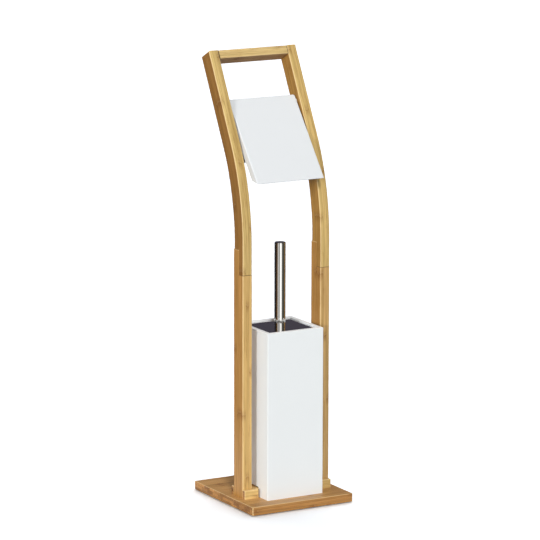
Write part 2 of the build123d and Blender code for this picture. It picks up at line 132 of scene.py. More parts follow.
floor_half = 30.0
floor_white = (1.36, 1.40, 1.45, 1)
floor_bounce = 0.5
floor_lift = 0.09
floor_mesh = bpy.data.meshes.new("studio_floor")
floor_mesh.from_pydata([(-floor_half, -floor_half, 0), (floor_half, -floor_half, 0),
                        (floor_half, floor_half, 0), (-floor_half, floor_half, 0)], [], [(0, 1, 2, 3)])
floor = bpy.data.objects.new("studio_floor", floor_mesh)
bpy.context.scene.collection.objects.link(floor)
paper = bpy.data.materials.new("sweep_paper")
paper.use_nodes = True
tree = paper.node_tree
tree.nodes.clear()
dull = add_node(tree, "ShaderNodeBsdfDiffuse", {"Color": (floor_bounce, floor_bounce, floor_bounce, 1)})
matt = add_node(tree, "ShaderNodeBsdfDiffuse", {"Color": floor_white})
glow = add_node(tree, "ShaderNodeEmission", {"Color": (1, 1, 1, 1), "Strength": floor_lift})
lifted = add_node(tree, "ShaderNodeAddShader", {0: matt.outputs[0], 1: glow.outputs[0]})
either = add_node(tree, "ShaderNodeMixShader", {0: background_rays(tree), 1: dull.outputs[0],
                                                2: lifted.outputs[0]})
add_node(tree, "ShaderNodeOutputMaterial", {"Surface": either.outputs[0]})
floor_mesh.materials.append(paper)


def soft_sun(name, azimuth, elevation, level, spread):
    """A soft studio light from one side: level 1 shows a white wall that faces it as white."""
    lamp = bpy.data.lights.new(name, "SUN")
    lamp.energy = level * math.pi
    lamp.angle = math.radians(spread)
    holder = bpy.data.objects.new(name, lamp)
    bpy.context.scene.collection.objects.link(holder)
    azimuth = math.radians(azimuth)
    elevation = math.radians(elevation)
    towards = Vector((math.sin(azimuth) * math.cos(elevation),
                      -math.cos(azimuth) * math.cos(elevation),
                      math.sin(elevation)))
    holder.rotation_mode = "QUATERNION"
    holder.rotation_quaternion = towards.to_track_quat("Z", "Y")
    holder.visible_glossy = False
    return holder


key_light = soft_sun("key_light", azimuth=-65, elevation=9, level=0.48, spread=10)
front_light = soft_sun("front_light", azimuth=-21, elevation=39, level=0.61, spread=10)
soft_sun("back_light", azimuth=175, elevation=38, level=0.16, spread=50)
floor_light = soft_sun("floor_light", azimuth=130, elevation=42, level=0.62, spread=90)

# The key and front lights leave the sweep alone, so that it keeps only the soft shadow round the base
bare_floor = bpy.data.collections.new("not_on_the_floor")
bare_floor.objects.link(floor)
for light in (key_light, front_light):
    light.light_linking.receiver_collection = bare_floor
bare_floor.collection_objects[0].light_linking.link_state = "EXCLUDE"

# The floor light falls on the sweep alone, and only the base plate blocks it: the dark rim round the plate
floor_only = bpy.data.collections.new("on_the_floor")
floor_only.objects.link(floor)
floor_light.light_linking.receiver_collection = floor_only
plate_only = bpy.data.collections.new("rim_shadow")
plate_only.objects.link(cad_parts["base_plate"])
floor_light.light_linking.blocker_collection = plate_only

# Studio flags and strip lights, which only polished metal mirrors: a ring of dark cloth with two bright gaps.
# Each stop is an azimuth in degrees and the brightness there, from what the polished handle mirrors.
ring_radius = 0.46
ring_top = 1.7
ring_sides = 96
flag_stops = ((-180, (0.066, 0.060, 0.080)), (-140, (0.030, 0.026, 0.026)), (-100, (0.022, 0.019, 0.018)),
              (-73, (0.03, 0.027, 0.026)), (-71, (1.1, 1.08, 1.05)), (-58, (1.1, 1.08, 1.05)),
              (-55, (0.06, 0.057, 0.052)), (-37, (0.06, 0.057, 0.052)), (-34, (1.35, 1.35, 1.32)),
              (4, (1.35, 1.35, 1.32)), (8, (0.17, 0.165, 0.16)), (24, (0.12, 0.115, 0.10)),
              (34, (0.075, 0.07, 0.055)), (70, (0.11, 0.10, 0.07)), (110, (0.07, 0.064, 0.075)),
              (180, (0.066, 0.060, 0.080)))
ring_points = []
ring_faces = []
for side in range(ring_sides):
    angle = 2 * math.pi * side / ring_sides
    for height in (0.0, ring_top):
        ring_points.append((ring_radius * math.sin(angle), -ring_radius * math.cos(angle), height))
    low = 2 * side
    next_low = (low + 2) % (2 * ring_sides)
    ring_faces.append((low, low + 1, next_low + 1, next_low))
ring_mesh = bpy.data.meshes.new("studio_flags")
ring_mesh.from_pydata(ring_points, [], ring_faces)
ring = bpy.data.objects.new("studio_flags", ring_mesh)
bpy.context.scene.collection.objects.link(ring)
cloth = bpy.data.materials.new("flag_cloth")
cloth.use_nodes = True
tree = cloth.node_tree
tree.nodes.clear()
spot = add_node(tree, "ShaderNodeTexCoord")
spot_parts = add_node(tree, "ShaderNodeSeparateXYZ", {0: spot.outputs["Object"]})
frontwards = calc(tree, "MULTIPLY", spot_parts.outputs["Y"], -1.0)
round_angle = calc(tree, "ARCTAN2", spot_parts.outputs["X"], frontwards)
round_share = calc(tree, "MULTIPLY_ADD", round_angle, 0.5 / math.pi, 0.5)
flags = add_node(tree, "ShaderNodeValToRGB", {"Fac": round_share})
while len(flags.color_ramp.elements) < len(flag_stops):
    flags.color_ramp.elements.new(0.5)
for stop, (azimuth, colour) in zip(flags.color_ramp.elements, flag_stops):
    stop.position = (azimuth + 180) / 360
    stop.color = (*colour, 1)
cloth_glow = add_node(tree, "ShaderNodeEmission", {"Color": flags.outputs[0], "Strength": 1.0})
add_node(tree, "ShaderNodeOutputMaterial", {"Surface": cloth_glow.outputs[0]})
ring_mesh.materials.append(cloth)
ring.visible_camera = False
ring.visible_diffuse = False
ring.visible_transmission = False
ring.visible_shadow = False
ring.visible_volume_scatter = False


# Base plate: one board, glued up from three plies of bamboo strips that run from side to side.
# Its left and right edges show the strips' ends as blocks, its front edge the three plies.
# All of it is under clear varnish.
def measure(tree, value, low, high):
    """0 below low, 1 above high, and a smooth step between them."""
    made = add_node(tree, "ShaderNodeMapRange", {"Value": value, "From Min": low, "From Max": high},
                    interpolation_type="SMOOTHSTEP")
    return made.outputs["Result"]


def within(tree, value, near, far):
    """1 below near, 0 above far, and a smooth step between them."""
    return calc(tree, "SUBTRACT", 1.0, measure(tree, value, near, far))


def varied(tree, noise, middle, spread):
    """The middle value, moved up or down by half the spread at most, as a noise from 0 to 1 says."""
    return calc(tree, "MULTIPLY_ADD", noise, spread, middle - spread / 2)


def stretched_noise(tree, place, grain, detail=2.0, roughness=0.5):
    """Noise whose grains have the given size in metres along each of the board's three directions."""
    sized = add_node(tree, "ShaderNodeVectorMath", {0: place, 1: [1 / size for size in grain]},
                     operation="MULTIPLY")
    made = add_node(tree, "ShaderNodeTexNoise", {"Vector": sized.outputs[0], "Scale": 1.0, "Detail": detail,
                                                 "Roughness": roughness})
    return made.outputs["Fac"]


knuckle_spacing = 0.31
sanded_off = 0.0005


def bamboo_figure():
    """The figure of glued bamboo strips, as a node group: tone, fibres, the culm's knuckles, strip ends."""
    tree = bpy.data.node_groups.new("bamboo_figure", "ShaderNodeTree")
    tree.interface.new_socket("Place", in_out="INPUT", socket_type="NodeSocketVector")
    for name in ("Ply", "Strip", "Knuckle at", "Board", "Seam low", "Seam high"):
        tree.interface.new_socket(name, in_out="INPUT", socket_type="NodeSocketFloat")
    for name in ("Tone", "Fibre", "Knuckle", "Band", "Pores", "Joint", "Lot", "Seam"):
        tree.interface.new_socket(name, in_out="OUTPUT", socket_type="NodeSocketFloat")
    given = add_node(tree, "NodeGroupInput").outputs
    results = add_node(tree, "NodeGroupOutput").inputs
    parts = add_node(tree, "ShaderNodeSeparateXYZ", {0: given["Place"]}).outputs

    # The strips of one ply lie this share of a strip beside those of the next
    stagger = 0.43
    ply_place = calc(tree, "DIVIDE", parts["X"], given["Ply"])
    ply = calc(tree, "FLOOR", ply_place)
    strip_place = calc(tree, "ADD", calc(tree, "DIVIDE", parts["Y"], given["Strip"]),
                       calc(tree, "MULTIPLY", ply, stagger))
    strip = calc(tree, "FLOOR", strip_place)

    # Each board, ply and strip reads the same noise from a place of its own, these steps apart in metres
    board_step = 0.37
    ply_step = 0.11
    strip_step = 0.53
    moved = add_node(tree, "ShaderNodeVectorMath", {0: given["Place"]}, operation="ADD")
    shift = add_node(tree, "ShaderNodeCombineXYZ", {"X": calc(tree, "MULTIPLY", given["Board"], board_step),
                                                    "Y": calc(tree, "MULTIPLY", ply, ply_step),
                                                    "Z": calc(tree, "MULTIPLY", strip, strip_step)})
    feed(tree, moved.inputs[1], shift.outputs[0])
    here = moved.outputs[0]
    names = add_node(tree, "ShaderNodeCombineXYZ", {"X": ply, "Y": strip, "Z": given["Board"]})
    lot = add_node(tree, "ShaderNodeTexWhiteNoise", {"Vector": names.outputs[0]}, noise_dimensions="3D")
    clouds = stretched_noise(tree, here, (0.006, 0.006, 0.16), detail=2.0)
    streaks = stretched_noise(tree, here, (0.0021, 0.0021, 0.11), detail=3.0, roughness=0.6)
    tone = varied(tree, lot.outputs["Value"], 1.0, 0.22)
    tone = calc(tree, "ADD", tone, varied(tree, clouds, 0.0, 0.56))
    tone = calc(tree, "ADD", tone, varied(tree, streaks, 0.0, 1.15))

    # Fibres: thin dark dashes along the strip, in denser and thinner patches
    dashes = stretched_noise(tree, here, (0.0007, 0.0007, 0.030), detail=2.0, roughness=0.6)
    patches = stretched_noise(tree, here, (0.004, 0.004, 0.09), detail=1.0)
    fibre = calc(tree, "MULTIPLY", measure(tree, dashes, 0.54, 0.70), measure(tree, patches, 0.36, 0.62))

    # Knuckles: each strip crosses one about every third of a metre, at a height of its own.
    # The two steps are the shares of that spacing between neighbouring plies and between strips.
    knuckle_ply_step = 0.37
    knuckle_strip_step = 0.618
    wave = stretched_noise(tree, here, (0.005, 0.005, 0.5), detail=2.0)
    along = calc(tree, "SUBTRACT", parts["Z"], given["Knuckle at"])
    along = calc(tree, "ADD", along, varied(tree, wave, 0.0, 0.020))
    turns = calc(tree, "DIVIDE", along, knuckle_spacing)
    turns = calc(tree, "ADD", turns, calc(tree, "MULTIPLY", ply, knuckle_ply_step))
    turns = calc(tree, "ADD", turns, calc(tree, "MULTIPLY", strip, knuckle_strip_step))
    offset = calc(tree, "SUBTRACT", calc(tree, "FRACT", calc(tree, "ADD", turns, 0.5)), 0.5)
    offset = calc(tree, "MULTIPLY", offset, knuckle_spacing)
    away = calc(tree, "ABSOLUTE", offset)
    line = within(tree, away, 0.0004, 0.0016)
    halo = within(tree, away, 0.001, 0.014)
    knuckle = calc(tree, "MAXIMUM", calc(tree, "MULTIPLY", line, 0.9), calc(tree, "MULTIPLY", halo, 0.55))

    # Some strips show their knuckle less, and a light band lies just above each
    draw = add_node(tree, "ShaderNodeSeparateColor", {0: lot.outputs["Color"]}).outputs[1]
    plain = calc(tree, "MULTIPLY_ADD", draw, 0.6, 0.55)
    knuckle = calc(tree, "MULTIPLY", knuckle, calc(tree, "MINIMUM", plain, 1.0))
    band_height = 0.0029
    above = calc(tree, "ABSOLUTE", calc(tree, "SUBTRACT", offset, band_height))
    band = within(tree, above, 0.0004, 0.0019)

    # Strip ends: the cut fibre bundles show as fine dark pores
    pore_spacing = 0.0011
    flat_place = add_node(tree, "ShaderNodeVectorMath", {0: here, 1: (1 / pore_spacing, 1 / pore_spacing, 0)},
                          operation="MULTIPLY")
    dots = add_node(tree, "ShaderNodeTexVoronoi", {"Vector": flat_place.outputs[0], "Scale": 1.0})
    pores = within(tree, dots.outputs["Distance"], 0.18, 0.42)

    # Glue joints between plies and between strips, and the seams where a board meets another along its grain
    ply_edge = calc(tree, "MULTIPLY", calc(tree, "PINGPONG", ply_place, 0.5), given["Ply"])
    strip_edge = calc(tree, "MULTIPLY", calc(tree, "PINGPONG", strip_place, 0.5), given["Strip"])
    joint = within(tree, calc(tree, "MINIMUM", ply_edge, strip_edge), 0.00006, 0.00032)
    below_seam = calc(tree, "ABSOLUTE", calc(tree, "SUBTRACT", parts["Z"], given["Seam low"]))
    above_seam = calc(tree, "ABSOLUTE", calc(tree, "SUBTRACT", parts["Z"], given["Seam high"]))
    seam = within(tree, calc(tree, "MINIMUM", below_seam, above_seam), 0.0005, 0.0012)
    outputs = {"Tone": tone, "Fibre": fibre, "Knuckle": knuckle, "Band": band, "Pores": pores,
               "Joint": joint, "Lot": lot.outputs["Value"], "Seam": seam}
    for name, value in outputs.items():
        feed(tree, results[name], value)
    return tree


bamboo_group = bamboo_figure()


def straight_grain(tree, order, corner):
    """Places on a straight board: order names the axes across its plies, across its strips and along it.
    The board was sanded after gluing, so its outer faces lie a little inside the outer plies."""
    spot = add_node(tree, "ShaderNodeTexCoord")
    parts = add_node(tree, "ShaderNodeSeparateXYZ", {0: spot.outputs["Object"]}).outputs
    made = add_node(tree, "ShaderNodeCombineXYZ")
    for socket, axis, start in zip(made.inputs, order, corner):
        feed(tree, socket, calc(tree, "SUBTRACT", parts[axis], start - sanded_off))
    return made.outputs[0]


# A seam this many metres away lies outside every board
no_seam = 9.0


def bamboo(name, grain, ply, strip, knuckle_at, board, face, flank, end, flank_axis, end_axis,
           seams=(-no_seam, no_seam), bent=False):
    """Varnished bamboo: grain gives places on the board, the colours are those of its faces, flanks and ends.
    Seams are where it meets other boards along its grain, which shows as a thin dark line."""
    made = bpy.data.materials.new(name)
    made.use_nodes = True
    tree = made.node_tree
    skin = tree.nodes["Principled BSDF"]
    place = grain(tree)
    figure = add_node(tree, "ShaderNodeGroup", node_tree=bamboo_group)
    settings = {"Place": place, "Ply": ply, "Strip": strip, "Knuckle at": knuckle_at, "Board": board,
                "Seam low": seams[0], "Seam high": seams[1]}
    for socket, value in settings.items():
        feed(tree, figure.inputs[socket], value)
    spot = add_node(tree, "ShaderNodeTexCoord")

    def turned(axis):
        dot = add_node(tree, "ShaderNodeVectorMath", {0: spot.outputs["Normal"], 1: axis},
                       operation="DOT_PRODUCT")
        return calc(tree, "ABSOLUTE", dot.outputs["Value"])

    def facing(axis):
        return measure(tree, turned(axis), 0.62, 0.80)

    # The band where a rounded edge turns from one face to the next, which gets the painted edge highlight
    def edge_highlight_band(axis):
        slope = turned(axis)
        return calc(tree, "MULTIPLY", within(tree, slope, 0.86, 0.97), measure(tree, slope, 0.10, 0.32))

    def blended(share, first, second, how="MIX"):
        mixed = add_node(tree, "ShaderNodeMix", data_type="RGBA", blend_type=how)
        feed(tree, mixed.inputs[0], share)
        feed(tree, mixed.inputs[6], first)
        feed(tree, mixed.inputs[7], second)
        return mixed.outputs[2]

    at_end = facing(end_axis)
    on_side = calc(tree, "SUBTRACT", 1.0, at_end)
    wood = blended(facing(flank_axis), face, flank)
    wood = blended(at_end, wood, end)

    # Strips differ more at their ends, and what is darker is browner too
    block = calc(tree, "MULTIPLY_ADD", figure.outputs["Lot"], 0.7, -0.36)
    block = calc(tree, "MULTIPLY_ADD", block, at_end, figure.outputs["Tone"])
    browned = add_node(tree, "ShaderNodeVectorMath",
                       {0: calc(tree, "SUBTRACT", block, 1.0), 1: (0.85, 1.0, 1.3), 2: (1, 1, 1)},
                       operation="MULTIPLY_ADD")
    toned = add_node(tree, "ShaderNodeVectorMath", {0: wood, 1: browned.outputs[0]}, operation="MULTIPLY")
    # Painted highlight: the rounded edges are painted a pale tan, as if they caught the light
    edge = edge_highlight_band(flank_axis)
    if not bent:
        edge = calc(tree, "MAXIMUM", edge, edge_highlight_band(end_axis))
    wood = blended(calc(tree, "MULTIPLY", edge, 0.55), toned.outputs[0], shade(236, 212, 160))

    # The marks, each with its strength, its colour and how it is laid on
    fibre = calc(tree, "MULTIPLY", figure.outputs["Fibre"], on_side)
    knuckle = calc(tree, "MULTIPLY", figure.outputs["Knuckle"], on_side)
    band = calc(tree, "MULTIPLY", figure.outputs["Band"], on_side)
    pores = calc(tree, "MULTIPLY", figure.outputs["Pores"], at_end)
    marks = ((fibre, 0.85, shade(194, 156, 108), "MULTIPLY"),
             (knuckle, 0.8, shade(168, 128, 88), "MULTIPLY"),
             (band, 0.12, shade(236, 210, 160), "MIX"),
             (pores, 0.7, shade(150, 112, 76), "MULTIPLY"),
             (figure.outputs["Joint"], 0.6, shade(140, 104, 72), "MULTIPLY"),
             (figure.outputs["Seam"], 0.85, shade(96, 66, 44), "MULTIPLY"))
    for mark, strength, tint, how in marks:
        wood = blended(calc(tree, "MULTIPLY", mark, strength), wood, tint, how)
    feed(tree, skin.inputs["Base Color"], wood)
    open_grain = calc(tree, "MAXIMUM", fibre, pores)
    feed(tree, skin.inputs["Roughness"], calc(tree, "MULTIPLY_ADD", open_grain, 0.16, 0.46))
    skin.inputs["Specular IOR Level"].default_value = 0.32
    skin.inputs["Coat Weight"].default_value = 0.08
    skin.inputs["Coat Roughness"].default_value = 0.2
    dents = calc(tree, "MAXIMUM", open_grain, figure.outputs["Joint"])
    bump = add_node(tree, "ShaderNodeBump", {"Height": dents, "Strength": 0.35, "Distance": 0.00012},
                    invert=True)
    feed(tree, skin.inputs["Normal"], bump.outputs[0])
    return made


def dress(node, material):
    """Gives a CAD node its finish."""
    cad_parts[node].material_slots[0].material = material


base_low, base_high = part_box("base_plate")
base_ply = (base_high.z - base_low.z + 2 * sanded_off) / 3
base_bamboo = bamboo(
    "bamboo_base_plate", lambda tree: straight_grain(tree, "ZYX", (base_low.z, base_low.y, 0)),
    ply=base_ply, strip=0.0195, knuckle_at=0.021, board=1.0,
    face=shade(193, 147, 90), flank=shade(176, 126, 68), end=shade(174, 121, 58),
    flank_axis=(0, 1, 0), end_axis=(1, 0, 0))
dress("base_plate", base_bamboo)


# Base pads: four round bumpers cut from black rubber sheet, glued half sunk in the plate's underside.
# Fine rubber grain, dull all over.
def plain_finish(name, colour, roughness, metallic=0.0, grain_size=0.0008, tone=0.08, relief=0.00003):
    """A finish of one colour with fine mottling in tone, gloss and surface, grain_size metres across."""
    made = bpy.data.materials.new(name)
    made.use_nodes = True
    tree = made.node_tree
    skin = tree.nodes["Principled BSDF"]
    spot = add_node(tree, "ShaderNodeTexCoord")
    fine = stretched_noise(tree, spot.outputs["Object"], (grain_size,) * 3, detail=2.0)
    cloud_size = 30 * grain_size
    broad = stretched_noise(tree, spot.outputs["Object"], (cloud_size,) * 3, detail=2.0)
    level = varied(tree, broad, 1.0, tone)
    toned = add_node(tree, "ShaderNodeVectorMath", {0: colour[:3], "Scale": level}, operation="SCALE")
    feed(tree, skin.inputs["Base Color"], toned.outputs[0])
    feed(tree, skin.inputs["Roughness"], varied(tree, fine, roughness, 0.12))
    skin.inputs["Metallic"].default_value = metallic
    bump = add_node(tree, "ShaderNodeBump", {"Height": fine, "Strength": 0.5, "Distance": relief})
    feed(tree, skin.inputs["Normal"], bump.outputs[0])
    return made


dress("base_pads", plain_finish("pad_rubber", shade(46, 45, 44), 0.85, relief=0.00008))

# Cross board: one bamboo board on the plate, through the container's notches, with wider blocks at the posts.
# Grain from side to side; its rounded ends show dark, mottled end grain.
board_low, board_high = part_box("cross_board")
board_bamboo = bamboo(
    "bamboo_cross_board", lambda tree: straight_grain(tree, "ZYX", (board_low.z, board_low.y, 0)),
    ply=(board_high.z - board_low.z) / 2.5, strip=0.0165, knuckle_at=-0.064, board=2.0,
    face=shade(208, 170, 108), flank=shade(208, 176, 112), end=shade(158, 112, 64),
    flank_axis=(0, 1, 0), end_axis=(1, 0, 0))
dress("cross_board", board_bamboo)

# Lower posts: straight bamboo posts of three upright plies, cut away in front at the top for the lap.
# Front faces are light, the flat-sawn sides browner, and each carries a knuckle of the culm.
post_ply = 0.0068
post_end = shade(170, 124, 74)
lower_woods = (("left", 0.168, 3.0, shade(208, 171, 106), shade(186, 137, 74)),
               ("right", 0.409, 4.0, shade(201, 163, 104), shade(181, 133, 70)))
for side, knuckle_at, board, face, flank in lower_woods:
    post_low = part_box("lower_post_" + side)[0]
    corner = (post_low.x, post_low.y, 0)
    post_bamboo = bamboo(
        "bamboo_lower_post_" + side, lambda tree: straight_grain(tree, "XYZ", corner),
        ply=post_ply, strip=0.021, knuckle_at=knuckle_at, board=board,
        face=face, flank=flank, end=post_end,
        flank_axis=(1, 0, 0), end_axis=(0, 0, 1))
    dress("lower_post_" + side, post_bamboo)

# Upper posts: bamboo glued up in three upright plies, sawn and bent to a sweep, lapped onto the lower posts.
# The grain follows the bend, then the straight part that leans back. The first four values repeat the sizes
# of the solids' own bend, and the two directions run along and across the part that leans.
bend_radius = 0.3925
bend_start = 0.4715
post_front = -0.046
post_lean = math.radians(27.7)
lean_along = (0, math.sin(post_lean), math.cos(post_lean))
lean_across = (0, math.cos(post_lean), -math.sin(post_lean))


def bent_grain(tree, side_x):
    """Places on an upper post: across its plies, in from its front face, along the bend from its start."""
    spot = add_node(tree, "ShaderNodeTexCoord")
    parts = add_node(tree, "ShaderNodeSeparateXYZ", {0: spot.outputs["Object"]}).outputs
    centre_y = post_front + bend_radius
    inwards = calc(tree, "SUBTRACT", centre_y, parts["Y"])
    upwards = calc(tree, "SUBTRACT", parts["Z"], bend_start)
    angle = calc(tree, "ARCTAN2", upwards, inwards)
    angle = calc(tree, "MINIMUM", calc(tree, "MAXIMUM", angle, 0.0), post_lean)
    cosine = calc(tree, "COSINE", angle)
    sine = calc(tree, "SINE", angle)
    from_front = calc(tree, "SUBTRACT", calc(tree, "MULTIPLY", cosine, bend_radius), inwards)
    from_start = calc(tree, "SUBTRACT", upwards, calc(tree, "MULTIPLY", sine, bend_radius))
    deep = calc(tree, "SUBTRACT", calc(tree, "MULTIPLY", from_front, cosine),
                calc(tree, "MULTIPLY", from_start, sine))
    along = calc(tree, "ADD", calc(tree, "MULTIPLY", from_front, sine),
                 calc(tree, "MULTIPLY", from_start, cosine))
    along = calc(tree, "ADD", along, calc(tree, "MULTIPLY", angle, bend_radius))
    across = calc(tree, "SUBTRACT", parts["X"], side_x - sanded_off)
    deep = calc(tree, "ADD", deep, sanded_off)
    return add_node(tree, "ShaderNodeCombineXYZ", {"X": across, "Y": deep, "Z": along}).outputs[0]


upper_woods = (("left", -0.047, 5.0, shade(204, 174, 110), shade(152, 108, 53)),
               ("right", 0.040, 6.0, shade(202, 171, 107), shade(166, 123, 61)))
for side, knuckle_at, board, face, flank in upper_woods:
    post_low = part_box("upper_post_" + side)[0]
    outer_x = post_low.x
    post_bamboo = bamboo(
        "bamboo_upper_post_" + side, lambda tree: bent_grain(tree, outer_x),
        ply=post_ply, strip=0.0195, knuckle_at=knuckle_at, board=board,
        face=face, flank=flank, end=post_end,
        flank_axis=(1, 0, 0), end_axis=lean_along, seams=(post_low.z - bend_start, no_seam), bent=True)
    dress("upper_post_" + side, post_bamboo)


# Top rail: a bamboo bar dowelled and glued between the leaning post tops, which makes the grip.
# Grain from side to side, tilted back with the posts.
def leaning_grain(tree):
    """Places on the tilted rail: across its thickness, across its depth and along it."""
    spot = add_node(tree, "ShaderNodeTexCoord")
    turned = add_node(tree, "ShaderNodeMapping", {"Vector": spot.outputs["Object"],
                                                  "Rotation": (post_lean, 0, 0)})
    parts = add_node(tree, "ShaderNodeSeparateXYZ", {0: turned.outputs[0]}).outputs
    made = add_node(tree, "ShaderNodeCombineXYZ", {"X": parts["Z"], "Y": parts["Y"], "Z": parts["X"]})
    return made.outputs[0]


rail_low, rail_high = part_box("top_rail")
rail_ply = 0.0053
# Its top and underside take a face colour that is partly the wood's own and partly painted shade, darker for
# the shade under the rail
rail_bamboo = bamboo(
    "bamboo_top_rail", leaning_grain, ply=rail_ply, strip=0.0195, knuckle_at=0.052, board=7.0,
    face=shade(186, 146, 98), flank=shade(215, 187, 127), end=shade(150, 106, 62),
    flank_axis=lean_across, end_axis=(1, 0, 0), seams=(rail_low.x, rail_high.x))
dress("top_rail", rail_bamboo)

# Rail dowels: turned beech pins, glued half in the rail and half in the posts.
# Pale wood with short brown flecks along the pin.
beech = bpy.data.materials.new("beech_dowel")
beech.use_nodes = True
tree = beech.node_tree
spot = add_node(tree, "ShaderNodeTexCoord")
flecks = stretched_noise(tree, spot.outputs["Object"], (0.003, 0.0004, 0.0004))
flecks = measure(tree, flecks, 0.56, 0.66)
pale = add_node(tree, "ShaderNodeMix", data_type="RGBA")
feed(tree, pale.inputs[0], calc(tree, "MULTIPLY", flecks, 0.6))
feed(tree, pale.inputs[6], shade(214, 178, 132))
feed(tree, pale.inputs[7], shade(160, 116, 76))
feed(tree, tree.nodes["Principled BSDF"].inputs["Base Color"], pale.outputs[2])
tree.nodes["Principled BSDF"].inputs["Roughness"].default_value = 0.7
dress("rail_dowels", beech)

# Screws: zinc-plated countersunk wood screws, through the laps from behind and up through the base.
# Pale bluish-yellow plating, a little cloudy.
zinc = plain_finish("zinc_plate", shade(206, 203, 190), 0.34, metallic=1.0, grain_size=0.0006, tone=0.2)
for node in ("lap_screws", "post_screws", "board_screws"):
    dress(node, zinc)

# Roll cover: one bent sheet of steel with a top return and side flanges, white powder coat, hung from a rod.
# The coat has a fine, soft orange-peel surface.
cover_coat = plain_finish("white_powder_coat", shade(226, 229, 231), 0.42, grain_size=0.0009, tone=0.015,
                          relief=0.00002)
dress("roll_cover", cover_coat)
rod_steel = plain_finish("ground_rod", shade(188, 188, 186), 0.26, metallic=1.0, grain_size=0.0003, tone=0.1)
dress("cover_hinge_rod", rod_steel)
dress("hinge_spacers", plain_finish("natural_nylon", shade(232, 230, 222), 0.45, grain_size=0.002, tone=0.05))

# Roller: two telescoping halves moulded in black plastic, pushed apart by a coil spring inside.
# Satin surface with a fine spark-eroded grain.
roller_black = plain_finish("roller_black", shade(26, 26, 27), 0.40, grain_size=0.0005, tone=0.15)
dress("roller_sleeve", roller_black)
dress("roller_core", roller_black)
spring_steel = plain_finish("spring_wire", shade(172, 172, 170), 0.30, metallic=1.0, grain_size=0.0004)
dress("roller_spring", spring_steel)

# Brush container: a square box of lacquered fibreboard, open below, that stands over the cross board.
# White satin lacquer, sprayed, with the faintest unevenness; faces turned upwards, the rim and edge tops, are
# painted whiter as a painted highlight.
lacquer = plain_finish("white_lacquer", shade(237, 241, 242), 0.30, grain_size=0.0016, tone=0.02,
                       relief=0.00002)
tree = lacquer.node_tree
skin = tree.nodes["Principled BSDF"]
skin.inputs["Specular IOR Level"].default_value = 0.2
# Painted highlight: the more a face turns upwards, the whiter it is painted
spot = add_node(tree, "ShaderNodeTexCoord")
upright = add_node(tree, "ShaderNodeSeparateXYZ", {0: spot.outputs["Normal"]}).outputs["Z"]
painted_top_highlight = add_node(tree, "ShaderNodeMix", {0: measure(tree, upright, 0.15, 0.6),
                                            6: skin.inputs["Base Color"].links[0].from_socket,
                                            7: shade(252, 253, 253)}, data_type="RGBA")
feed(tree, skin.inputs["Base Color"], painted_top_highlight.outputs[2])
dress("brush_container", lacquer)

# Cup: a moulded insert inside the container that catches the drips.
# Plain pale plastic, slightly translucent in look, with a dull inside.
cup_plastic = plain_finish("cup_plastic", shade(214, 216, 218), 0.5, grain_size=0.0012, tone=0.05)
dress("brush_cup", cup_plastic)

# Lid, handle and cap: polished stainless steel, the plate screwed between the handle tube and the stem.
# Almost a mirror, with faint polishing lines: round the tube, and across the plate.
def polished(name, colour, lines, roughness):
    """Polished steel with faint polishing lines of the given size in metres."""
    made = bpy.data.materials.new(name)
    made.use_nodes = True
    tree = made.node_tree
    skin = tree.nodes["Principled BSDF"]
    spot = add_node(tree, "ShaderNodeTexCoord")
    scratches = stretched_noise(tree, spot.outputs["Object"], lines, detail=3.0, roughness=0.6)
    smears = stretched_noise(tree, spot.outputs["Object"], (0.02, 0.02, 0.02), detail=2.0)
    level = varied(tree, scratches, 1.0, 0.06)
    toned = add_node(tree, "ShaderNodeVectorMath", {0: colour[:3], "Scale": level}, operation="SCALE")
    feed(tree, skin.inputs["Base Color"], toned.outputs[0])
    cloudy = varied(tree, smears, roughness, 0.03)
    feed(tree, skin.inputs["Roughness"], calc(tree, "ADD", cloudy, calc(tree, "MULTIPLY", scratches, 0.02)))
    skin.inputs["Metallic"].default_value = 1.0
    bump = add_node(tree, "ShaderNodeBump", {"Height": scratches, "Strength": 0.08, "Distance": 0.00001})
    feed(tree, skin.inputs["Normal"], bump.outputs[0])
    return made


dress("brush_lid", polished("polished_plate", shade(222, 220, 222), (0.0005, 0.03, 0.03), 0.045))
tube_steel = polished("polished_tube", shade(224, 223, 220), (0.02, 0.02, 0.0006), 0.06)
dress("brush_handle", tube_steel)
dress("handle_cap", tube_steel)
dress("handle_insert", plain_finish("turned_brass", shade(214, 176, 98), 0.3, metallic=1.0, tone=0.12))
dress("handle_stud", zinc)

# Brush: a moulded white stem whose thick end carries tufts of nylon bristle, all round and over its tip.
# Each tuft is a pinch of straight filaments that spread a little towards their cut ends.
dress("brush_stem", plain_finish("stem_plastic", shade(236, 236, 234), 0.35, grain_size=0.002, tone=0.03))


